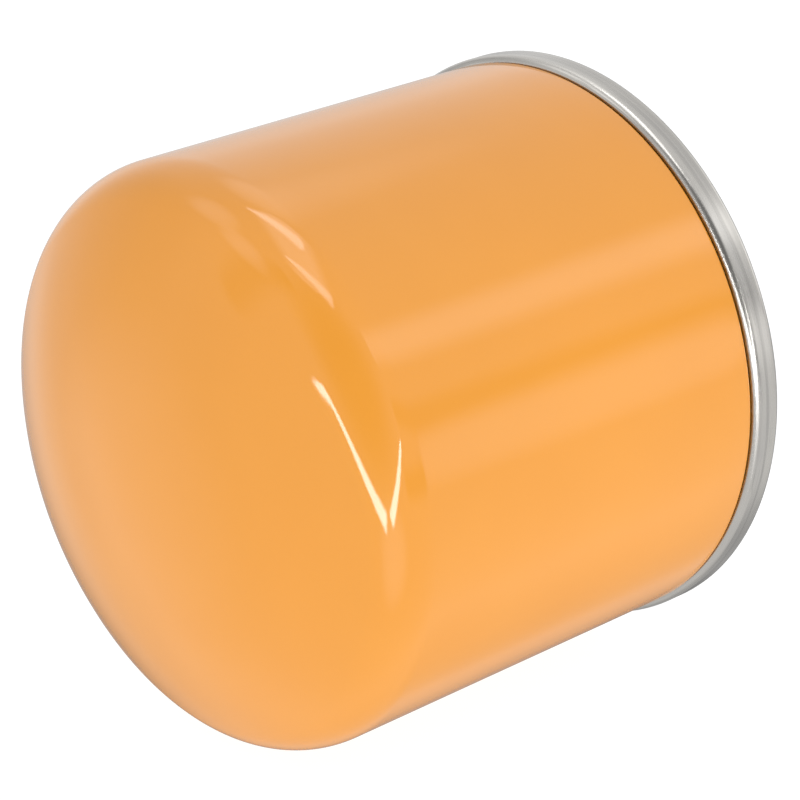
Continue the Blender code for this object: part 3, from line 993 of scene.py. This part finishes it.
@dataclass
class TappingPlate:
    """The thick plate: raised centre, stepped flange, threaded hub and a ring of punched inlet holes."""

    face_depth: float = 3.1
    thickness: float = 3.0
    flange_depth: float = 6.0
    radius: float = 34.9
    step_radius: float = 29.7
    hub_radius: float = 12.0
    hub_depth: float = 11.5
    minor_radius: float = 8.75
    major_radius: float = 9.53
    pitch: float = 1.5875
    mouth: float = 1.1
    holes: int = 8
    hole_radius: float = 3.2
    hole_circle: float = 19.4
    flare: float = 0.45
    edge_round: float = 0.55
    around: int = 192

    def outline(self) -> list[Point]:
        """Give the plate's section, with fine steps down the threaded bore.

        Returns:
            The closed outline.
        """
        back, flange_back = self.face_depth + self.thickness, self.flange_depth + self.thickness
        recess = self.step_radius - self.thickness
        bore, mouth = self.minor_radius, self.mouth
        body = [
            (self.face_depth, bore + mouth), (self.face_depth, self.step_radius),
            (self.flange_depth, self.step_radius), (self.flange_depth, self.radius),
            (flange_back, self.radius), (flange_back, recess), (back, recess), (back, self.hub_radius),
            (self.hub_depth, self.hub_radius), (self.hub_depth, bore + 0.6),
        ]
        smooth = rounded(body, self.edge_round, 5)
        throat = [(self.hub_depth, bore + 0.6), (self.hub_depth - 0.6, bore), (self.face_depth + mouth, bore)]
        throat.append((self.face_depth, bore + mouth))
        return smooth[6:-6] + spaced(throat, self.pitch / 14, False)

    def threaded(self, depth: float, radius: float, angle: float) -> Point:
        """Cut the helical thread into the bore.

        Args:
            depth, radius, angle: Where a point is, with its angle from +Z.

        Returns:
            The moved point.
        """
        if radius > self.major_radius + 0.4:
            return depth, radius
        turn = (depth / self.pitch + angle / tau) % 1.0
        rise = min(1.0, max(0.0, (0.5 - abs(turn - 0.5) - 0.125) / 0.3125))
        return depth, max(radius, self.minor_radius + (self.major_radius - self.minor_radius) * rise)

    def punch(self, index: int) -> Solid:
        """Make the tool for one inlet hole, flared at both faces.

        Args:
            index: Which hole, from 0.

        Returns:
            The tool.
        """
        start, end = self.face_depth, self.face_depth + self.thickness
        entry = self.hole_radius + self.flare
        outline = [(start - 1, 0.0), (start - 1, entry)]
        outline += arc(start + self.flare, entry, self.flare, -90, -180, 4)
        outline += [(end - 0.2, self.hole_radius), (end, self.hole_radius + 0.2)]
        outline += [(end + 1, self.hole_radius + 0.2), (end + 1, 0.0)]
        tool = turned(outline, 48, closed=False)
        angle = tau * (index + 0.5) / self.holes
        shift = Vector((0.0, cos(angle), sin(angle))) * self.hole_circle * MM
        bmesh.ops.translate(tool, verts=tool.verts, vec=shift)
        return tool

    def build(self) -> None:
        """Build the plate and dress it."""
        plate = turned(self.outline(), self.around, shaper=self.threaded)
        shape = carved(plate, [self.punch(index) for index in range(self.holes)])
        show("threaded_base_plate", shape, PLATE_STEEL, Body.SHELL, "tapping_plate", flats=True)


@dataclass
class MountingGasket:
    """The moulded square-section ring that seals on the engine."""

    height: float = 5.0
    inner: float = 30.7
    outer: float = 34.3
    edge_round: float = 0.38
    parting_width: float = 0.16
    parting_depth: float = 0.09

    def build(self) -> None:
        """Build the gasket, with its rounded edges and the mould's parting line."""
        middle, wide, inner = self.height / 2, self.parting_width, self.inner
        outline = rounded(band(0.0, self.height, self.inner, self.outer), self.edge_round, 6)
        outline += [(middle + wide, inner), (middle, inner + self.parting_depth), (middle - wide, inner)]
        show("mounting_gasket_ring", turned(outline, 240), GASKET_RUBBER, Body.SHELL, "mounting_gasket")


@dataclass
class DrainbackValve:
    """The moulded rubber valve: a sleeve round the hub and a conical lip with shallow ribs."""

    seat: float = 6.4
    bore: float = 12.3
    lip: float = 25.7
    sleeve: float = 14.3
    sleeve_end: float = 16.9
    ribs: int = 12
    rib_height: float = 0.22

    def ribbed(self, depth: float, radius: float, angle: float) -> Point:
        """Raise the ribs on the cone's back.

        Args:
            depth, radius, angle: Where a point is, with its angle from +Z.

        Returns:
            The moved point.
        """
        if self.sleeve + 1.2 < radius < self.lip - 1.0 and depth > self.seat + 1.3:
            depth += self.rib_height * max(0.0, cos(self.ribs * angle)) ** 4
        return depth, radius

    def build(self) -> None:
        """Build the valve and dress it."""
        seat, lip, sleeve = self.seat, self.lip, self.sleeve
        corners = [
            (seat + 2.9, self.bore), (seat + 2.9, sleeve - 0.3), (seat + 0.2, lip - 1.7), (seat, lip - 1.4),
            (seat, lip - 0.4), (seat + 0.5, lip), (seat + 1.2, lip - 0.5), (seat + 4.3, sleeve + 1.0),
            (seat + 5.3, sleeve), (self.sleeve_end, sleeve), (self.sleeve_end, self.bore),
        ]
        outline = spaced(rounded(corners, 0.4, 3), 1.2)
        shape = turned(outline, 192, shaper=self.ribbed)
        show("drainback_valve", shape, VALVE_RUBBER, Body.CHECK_VALVE, "anti_drainback_valve")


@dataclass
class Cartridge:
    """The filter element: stamped caps, adhesive, perforated core, pleats and the clip on their seam."""

    start: float = 18.4
    end: float = 61.6
    radius: float = 33.4
    gauge: float = 0.4
    skirt: float = 2.7
    potting: float = 1.2
    collar_start: float = 12.1
    collar_radius: float = 11.8
    orifice: float = 9.0
    core_radius: float = 13.5
    core_wall: float = 0.5
    core_rows: int = 5
    core_holes: int = 6
    core_hole_radius: float = 2.1
    pleats: int = 60
    pleat_outer: float = 31.8
    pleat_inner: float = 13.9
    paper: float = 0.42
    crest_radius: float = 0.5
    root_radius: float = 0.36
    paper_rows: int = 14
    paper_wave: float = 0.006
    clip_width: float = 3.0
    clip_depth: float = 4.2
    around: int = 144
    span: Point = field(init=False)

    def __post_init__(self) -> None:
        """Find the depths that the pleats lie between."""
        inset = self.gauge + 2 * CLEARANCE + self.potting
        self.span = (self.start + inset, self.end - inset)

    def build_caps(self) -> None:
        """Build both stamped caps, each with a stiffening bead."""
        half, bend, bead = self.gauge / 2, 0.6, 0.5
        skirt = self.radius - half
        disc = self.start + half
        line = [(self.collar_start, self.collar_radius)]
        line += arc(disc - bend, self.collar_radius + bend, bend, 180, 90, 5)
        line += [(disc, 21.0), (disc - bead / 2, 21.7), (disc - bead / 2, 24.3), (disc, 25.0)]
        line += arc(disc + bend, skirt - bend, bend, -90, 0, 6)
        line.append((disc + self.skirt, skirt))
        lower = turned(sheet(line, self.gauge), self.around)
        show("lower_cap", lower, PLATED_SHEET, Body.ELEMENT, "lower_end_cap")
        disc = self.end - half
        line = [(disc, self.orifice)]
        line += arc(disc - bend, skirt - bend, bend, 90, 0, 6)
        line.append((disc - self.skirt, skirt))
        upper = turned(sheet(line, self.gauge), self.around)
        show("upper_cap", upper, PLATED_SHEET, Body.ELEMENT, "upper_end_cap")

    def build_potting(self) -> None:
        """Build the two discs of adhesive."""
        inner, outer = self.core_radius + CLEARANCE, self.radius - self.gauge - 2 * CLEARANCE
        starts = {
            "lower_potting": self.start + self.gauge + CLEARANCE,
            "upper_potting": self.end - self.gauge - CLEARANCE - self.potting,
        }
        for node, start in starts.items():
            end = start + self.potting
            outline = rounded(band(start, end, inner, outer), 0.3, 3)
            show(node + "_ring", turned(outline, self.around), ADHESIVE, Body.ELEMENT, node)

    def build_core(self) -> None:
        """Build the perforated centre tube."""
        start, end = self.start + self.gauge + CLEARANCE, self.end - self.gauge - CLEARANCE
        inner = self.core_radius - self.core_wall
        tube = turned(band(start, end, inner, self.core_radius), self.around)
        pitch = (self.span[1] - self.span[0]) / self.core_rows
        drills = []
        hole, length = self.core_hole_radius * MM, 0.5 * self.core_radius * MM
        for row in range(self.core_rows):
            for across in range(self.core_holes):
                drill = bmesh.new()
                bmesh.ops.create_cone(
                    drill, cap_ends=True, segments=32, depth=length, radius1=hole, radius2=hole
                )
                angle = tau * (across + 0.5 * (row % 2)) / self.core_holes + radians(3.75)
                drills.append(swung(drill, angle, self.span[0] + pitch * (row + 0.5), self.core_radius))
        show("perforated_core", carved(tube, drills), PLATED_SHEET, Body.ELEMENT, "center_tube")

    def ribbon(self) -> list[Vector]:
        """Give the middle line of the folded paper, once round the axis.

        Returns:
            Points across the axis, as (y, z) in millimetres.
        """
        step, bend, root_bend, chords = tau / self.pleats, self.crest_radius, self.root_radius, 4
        crest = self.pleat_outer - self.paper / 2 - bend
        root = self.pleat_inner + self.paper / 2 + root_bend
        line = []
        for pleat in range(self.pleats):
            for middle, centre, size, turn in ((0.0, crest, bend, 1.0), (0.5, root, root_bend, -1.0)):
                angle = (pleat + middle) * step
                out, side = Vector((cos(angle), sin(angle))), Vector((-sin(angle), cos(angle)))
                for chord in range(chords + 1):
                    swing = radians(-86 + 172 * chord / chords)
                    line.append(out * (centre + turn * size * cos(swing)) + side * size * sin(swing))
        return line

    def build_pleats(self) -> None:
        """Build the pleated ring of paper, a little wavy along its depth."""
        line = self.ribbon()
        count, rows = len(line), self.paper_rows
        made = bmesh.new()
        layers = []
        for row in range(rows + 1):
            share = row / rows
            depth = self.span[0] + (self.span[1] - self.span[0]) * share
            sides: tuple[list, list] = ([], [])
            for index, point in enumerate(line):
                along = (line[(index + 1) % count] - line[index - 1]).normalized()
                across = Vector((along.y, -along.x)) * self.paper / 2
                wave = self.paper_wave * sin(pi * share) * sin(3 * pi * share + index * 0.37)
                for side, sign in zip(sides, (1.0, -1.0)):
                    y, z = point + across * sign
                    turn = (y * cos(wave) - z * sin(wave), y * sin(wave) + z * cos(wave))
                    side.append(made.verts.new((-depth * MM, turn[0] * MM, turn[1] * MM)))
            layers.append(sides)
        for sides, after in zip(layers, layers[1:]):
            stitched(made, sides[0], after[0])
            stitched(made, sides[1], after[1])
        for sides in (layers[0], layers[-1]):
            stitched(made, *sides)
        show("pleated_paper", made, FILTER_PAPER, Body.ELEMENT, "pleated_media", 60.0)

    def build_clip(self) -> None:
        """Build the channel that closes the pleats' seam."""
        inside = self.pleat_outer + CLEARANCE
        root, half, gauge = self.pleat_outer - self.clip_depth, self.clip_width / 2, self.gauge
        corners = [
            (half, root), (half, inside), (-half, inside), (-half, root), (-half - gauge, root),
            (-half - gauge, inside + gauge), (half + gauge, inside + gauge), (half + gauge, root),
        ]
        outline = rounded(corners, 0.15, 3)
        made = bmesh.new()
        rings = []
        for depth in self.span:
            rings.append([made.verts.new((-depth * MM, r * MM, side * MM)) for side, r in outline])
        stitched(made, *rings)
        for ring in rings:
            made.faces.new(ring)
        show("paper_seam_clip", made, PLATED_SHEET, Body.ELEMENT, "media_seam_clip")

    def build(self) -> None:
        """Build the whole cartridge."""
        self.build_caps()
        self.build_potting()
        self.build_core()
        self.build_pleats()
        self.build_clip()


@dataclass
class BypassValve:
    """The relief valve in the upper cap: seat, seal, cup, spring and cage."""

    seat_start: float = 60.5
    seat_end: float = 60.9
    orifice: float = 6.0
    outer: float = 12.7
    seal_radius: float = 8.5
    cup_radius: float = 9.5
    cage_radius: float = 11.8
    cage_length: float = 10.6
    gauge: float = 0.4
    spring_start: float = 50.1
    spring_end: float = 58.0
    wire: float = 0.9
    coil_radius: float = 6.5
    turns: float = 4.5
    travel: float = 3.0
    seal_height: float = 1.2
    cup_depth: float = 2.4
    window: float = 6.2
    around: int = 96

    def build_seat(self) -> None:
        """Build the fixed seat ring and the moving seal and cup."""
        ring = rounded(band(self.seat_start, self.seat_end, self.orifice, self.outer), 0.12, 3)
        show("relief_seat", turned(ring, self.around), PLATED_SHEET, Body.ELEMENT, "bypass_seat")
        seal_end = self.seat_start - CLEARANCE
        seal_start = seal_end - self.seal_height
        edge = self.seal_radius - 0.3
        outline = [(seal_start, 0.0), (seal_start, edge), *arc(seal_start + 0.3, edge, 0.3, -90, 0, 4)[1:]]
        outline += [*arc(seal_end - 0.3, edge, 0.3, 0, 90, 4), (seal_end, 0.0)]
        show(
            "relief_seal", turned(outline, self.around, closed=False), VALVE_RUBBER,
            Body.RELIEF_VALVE, "bypass_seal",
        )
        cup_end = seal_start - CLEARANCE
        cup_start, inner, wall = cup_end - self.cup_depth, cup_end - self.gauge, self.cup_radius - self.gauge
        outline = [
            (inner - 0.8, 0.0), (inner - 0.8, 3.6), (inner, 4.6), (inner, wall - 0.3), (inner - 0.3, wall),
            (cup_start, wall), (cup_start, self.cup_radius),
            *arc(cup_end - 0.5, self.cup_radius - 0.5, 0.5, 0, 90, 5), (cup_end, 0.0),
        ]
        show(
            "relief_cup", turned(outline, self.around, closed=False), PLATED_SHEET,
            Body.RELIEF_VALVE, "bypass_poppet",
        )

    def build_cage(self) -> None:
        """Build the cage with its four flow windows."""
        half, bend = self.gauge / 2, 0.6
        flange = self.seat_start - CLEARANCE - half
        wall = self.cage_radius - half
        floor = flange - self.cage_length + half
        line = [(flange, self.outer), (flange, wall), (floor + bend, wall)]
        line += [*arc(floor + bend, wall - bend, bend, 0, -90, 5)[1:], (floor, 3.5)]
        cage = turned(sheet(line, self.gauge), self.around)
        tools = []
        for quarter in range(4):
            tool = bmesh.new()
            bmesh.ops.create_cube(tool, size=1.0)
            size = (self.window * MM, self.window * MM, 0.6 * self.cage_radius * MM)
            bmesh.ops.scale(tool, vec=size, verts=tool.verts)
            bmesh.ops.bevel(tool, geom=tool.edges, offset=1.0 * MM, segments=4, affect="EDGES", profile=0.5)
            tools.append(swung(tool, pi * (quarter + 0.5) / 2, (floor + flange) / 2, self.cage_radius))
        show("relief_cage", carved(cage, tools), PLATED_SHEET, Body.ELEMENT, "bypass_cage")

    def build_spring(self) -> None:
        """Build the relief spring, on a mesh of its own."""
        shape = coiled(self.spring_start, self.spring_end, self.coil_radius, self.wire, self.turns, 40, 12)
        spring = show("relief_spring", shape, SPRING_WIRE, Body.ELEMENT, "bypass_spring")
        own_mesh(spring)

    def build(self) -> None:
        """Build the whole relief valve."""
        self.build_seat()
        self.build_cage()
        self.build_spring()


@dataclass
class ElementSpring:
    """The coil spring between the dome and the cartridge, and the ring that centres it."""

    seat_depth: float = 61.9
    seat_radius: float = 20.0
    collar_radius: float = 12.0
    collar_height: float = 2.6
    gauge: float = 0.4
    spring_start: float = 62.6
    spring_end: float = 72.05
    wire: float = 1.8
    coil_radius: float = 15.5
    turns: float = 2.75
    travel: float = 1.0

    def build(self) -> None:
        """Build the ring and the spring, the spring on a mesh of its own."""
        start, gauge, collar, top = self.seat_depth, self.gauge, self.collar_radius, self.collar_height
        corners = [
            (start, collar), (start, self.seat_radius), (start + gauge, self.seat_radius),
            (start + gauge, collar + gauge), (start + top, collar + gauge), (start + top, collar),
        ]
        show(
            "spring_centring_ring", turned(rounded(corners, 0.2, 4), 120), PLATED_SHEET,
            Body.ELEMENT, "element_spring_seat",
        )
        shape = coiled(self.spring_start, self.spring_end, self.coil_radius, self.wire, self.turns, 64, 16)
        spring = show("cartridge_spring", shape, SPRING_WIRE, Body.SHELL, "element_spring")
        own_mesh(spring)


# The studio.


@dataclass(frozen=True)
class Glow:
    """A soft round patch of light in the surround."""

    centre: Triple
    reach: float
    brightness: float

    def signal(self, bench: Bench, way: Signal) -> Signal:
        """Give its light towards each direction.

        Args:
            bench: The surround's nodes.
            way: The direction.

        Returns:
            Its brightness, soft from the middle to its reach.
        """
        near = bench.dot(way, tuple(Vector(self.centre).normalized()))
        return bench.span(near, cos(radians(self.reach)), 1.0) * self.brightness


@dataclass(frozen=True)
class Streak:
    """A straight strip lamp in the surround, between two directions."""

    start: Triple
    end: Triple
    width: float
    brightness: float
    taper: float = 0.0
    softness: float = 0.5

    def signal(self, bench: Bench, way: Signal) -> Signal:
        """Give its light towards each direction.

        Args:
            bench: The surround's nodes.
            way: The direction.

        Returns:
            Its brightness, with soft edges; a taper over 0 makes its start narrower than its end.
        """
        first, last = Vector(self.start).normalized(), Vector(self.end).normalized()
        half = first.angle(last) / 2
        along = bench.dot(way, tuple((last - first).normalized()))
        middle = bench.dot(way, tuple((first + last).normalized()))
        across = bench.dot(way, tuple(first.cross(last).normalized()))
        share = along * (0.5 / sin(half)) + 0.5
        across = (across * across) ** 0.5 * share ** -self.taper
        edge = radians(self.width)
        body = bench.span(across, edge, edge * (1 - self.softness))
        ends = bench.span(middle, cos(half), cos(half * 0.9))
        return body * ends * self.brightness


@dataclass
class Studio:
    """White floor, a soft white surround with brighter patches and thin strip lamps, and the camera."""

    level: float = 0.75
    lean: float = 0.45
    lean_towards: Triple = (-0.17, -0.97, 0.16)
    gloss_level: float = 1.15
    floor_radius: float = 30.0
    camera_place: Triple = (-0.25975, -0.25789, 0.15857)
    camera_aim: Triple = (0.60285, 0.67844, -0.41987)
    camera_lens: float = 134.84
    glows: tuple[Glow, ...] = (
        Glow((-0.54, -0.6, 0.6), 46.0, -0.85),
        Glow((-0.39, 0.56, 0.73), 14.0, 0.9),
        Glow((-0.66, 0.35, 0.67), 13.0, 0.9),
        Glow((-0.62, 0.6, -0.33), 30.0, 0.3),
        Glow((0.4, 0.46, 0.79), 18.0, 0.75),
        Glow((0.67, -0.74, 0.07), 12.0, 0.75),
        Glow((-0.45, -0.8, -0.38), 22.0, 0.9),
        Glow((0.4, 0.35, -0.85), 50.0, -0.5),
        Glow((0.6, 0.68, -0.42), 36.0, -0.4),
        Glow((0.02, 0.87, -0.49), 30.0, -0.25),
        Glow((0.64, -0.12, -0.76), 20.0, -0.16),
        Glow((-0.3, 0.93, 0.2), 35.0, -0.3),
        Glow((0.93, 0.3, -0.2), 34.0, -0.75),
        Glow((0.95, -0.15, 0.22), 24.0, 0.9),
    )
    streaks: tuple[Streak, ...] = (
        Streak((-0.955, -0.03, 0.212), (-0.574, -0.789, -0.221), 5.0, 13.0, 0.5),
        Streak((0.104, -0.947, 0.304), (-0.51, -0.835, -0.204), 3.8, 13.0, 0.5),
        Streak((0.013, 0.433, 0.901), (0.24, 0.011, 0.971), 10.0, 3.2, 0.6, 0.8),
        Streak((-0.269, 0.046, 0.962), (-0.046, -0.392, 0.919), 8.0, 3.2, 0.6, 0.8),
        Streak((-0.265, -0.265, 0.927), (0.288, 0.288, 0.914), 18.0, 1.4, 0.0, 0.6),
        Streak((0.162, -0.649, 0.743), (0.8, -0.38, 0.46), 9.0, 1.2, 0.0, 0.9),
        Streak((-0.05, -0.998, 0.035), (0.545, -0.839, 0.0), 9.0, -0.65, 0.0, 0.9),
        Streak((0.125, -0.89, 0.438), (0.776, -0.606, 0.174), 8.0, -0.6, 0.0, 0.9),
        Streak((-0.855, 0.417, 0.309), (-0.53, -0.019, 0.848), 10.0, -0.5, 0.0, 0.9),
    )

    def build_floor(self) -> None:
        """Lay the floor under the lowest point of the filter."""
        made = bmesh.new()
        bmesh.ops.create_circle(made, cap_ends=True, segments=64, radius=self.floor_radius)
        bmesh.ops.translate(made, verts=made.verts, vec=(0.0, 0.0, CAD_BOX[0].z))
        floor = placed("studio_floor", made)
        floor.data.materials.append(STUDIO_PAPER.material())
        floor.visible_glossy = False

    def build_surround(self) -> None:
        """Light the room: a gentle lean for matt light, patches and strips for gloss, white to the camera."""
        world = bpy.data.worlds.new("white_room")
        world.use_nodes = True
        bench = Bench(world.node_tree, "Background")
        way = bench.node("ShaderNodeTexCoord", output="Generated")
        matt = bench.dot(way, tuple(Vector(self.lean_towards).normalized())) * self.lean + self.level
        gloss: Value = self.gloss_level
        for lamp in (*self.glows, *self.streaks):
            gloss = gloss + lamp.signal(bench, way)
        shiny = bench.node("ShaderNodeLightPath", output="Is Glossy Ray")
        seen = bench.node("ShaderNodeLightPath", output="Is Camera Ray")
        light = matt * (1.0 - seen) + (gloss - matt) * shiny + seen
        bench.dress(color=(1.0, 1.0, 1.0), strength=light)
        bpy.context.scene.world = world

    def build_camera(self) -> None:
        """Set up the camera."""
        data = bpy.data.cameras.new("product_camera")
        data.sensor_width = 36.0
        data.lens = self.camera_lens
        data.clip_start, data.clip_end = 0.01, 100.0
        camera = bpy.data.objects.new("product_camera", data)
        camera.location = self.camera_place
        camera.rotation_mode = "QUATERNION"
        camera.rotation_quaternion = Vector(self.camera_aim).to_track_quat("-Z", "Y")
        bpy.context.scene.collection.objects.link(camera)
        bpy.context.scene.camera = camera

    def build(self) -> None:
        """Set up the whole studio."""
        self.build_camera()
        self.build_floor()
        self.build_surround()
        view = bpy.context.scene.view_settings
        view.view_transform, view.look = "Standard", "None"
        view.exposure, view.gamma = 0.0, 1.0


def main() -> None:
    """Build the filter and its studio."""
    logging.basicConfig(level=logging.INFO, format="%(name)s: %(message)s")
    Studio().build()
    for assembly in (
        DrawnCan(),
        SeamedCover(),
        TappingPlate(),
        MountingGasket(),
        DrainbackValve(),
        Cartridge(),
        BypassValve(),
        ElementSpring(),
    ):
        LOG.info("building %s", type(assembly).__name__)
        assembly.build()
    bpy.context.view_layer.update()


if __name__ == "__main__":
    main()
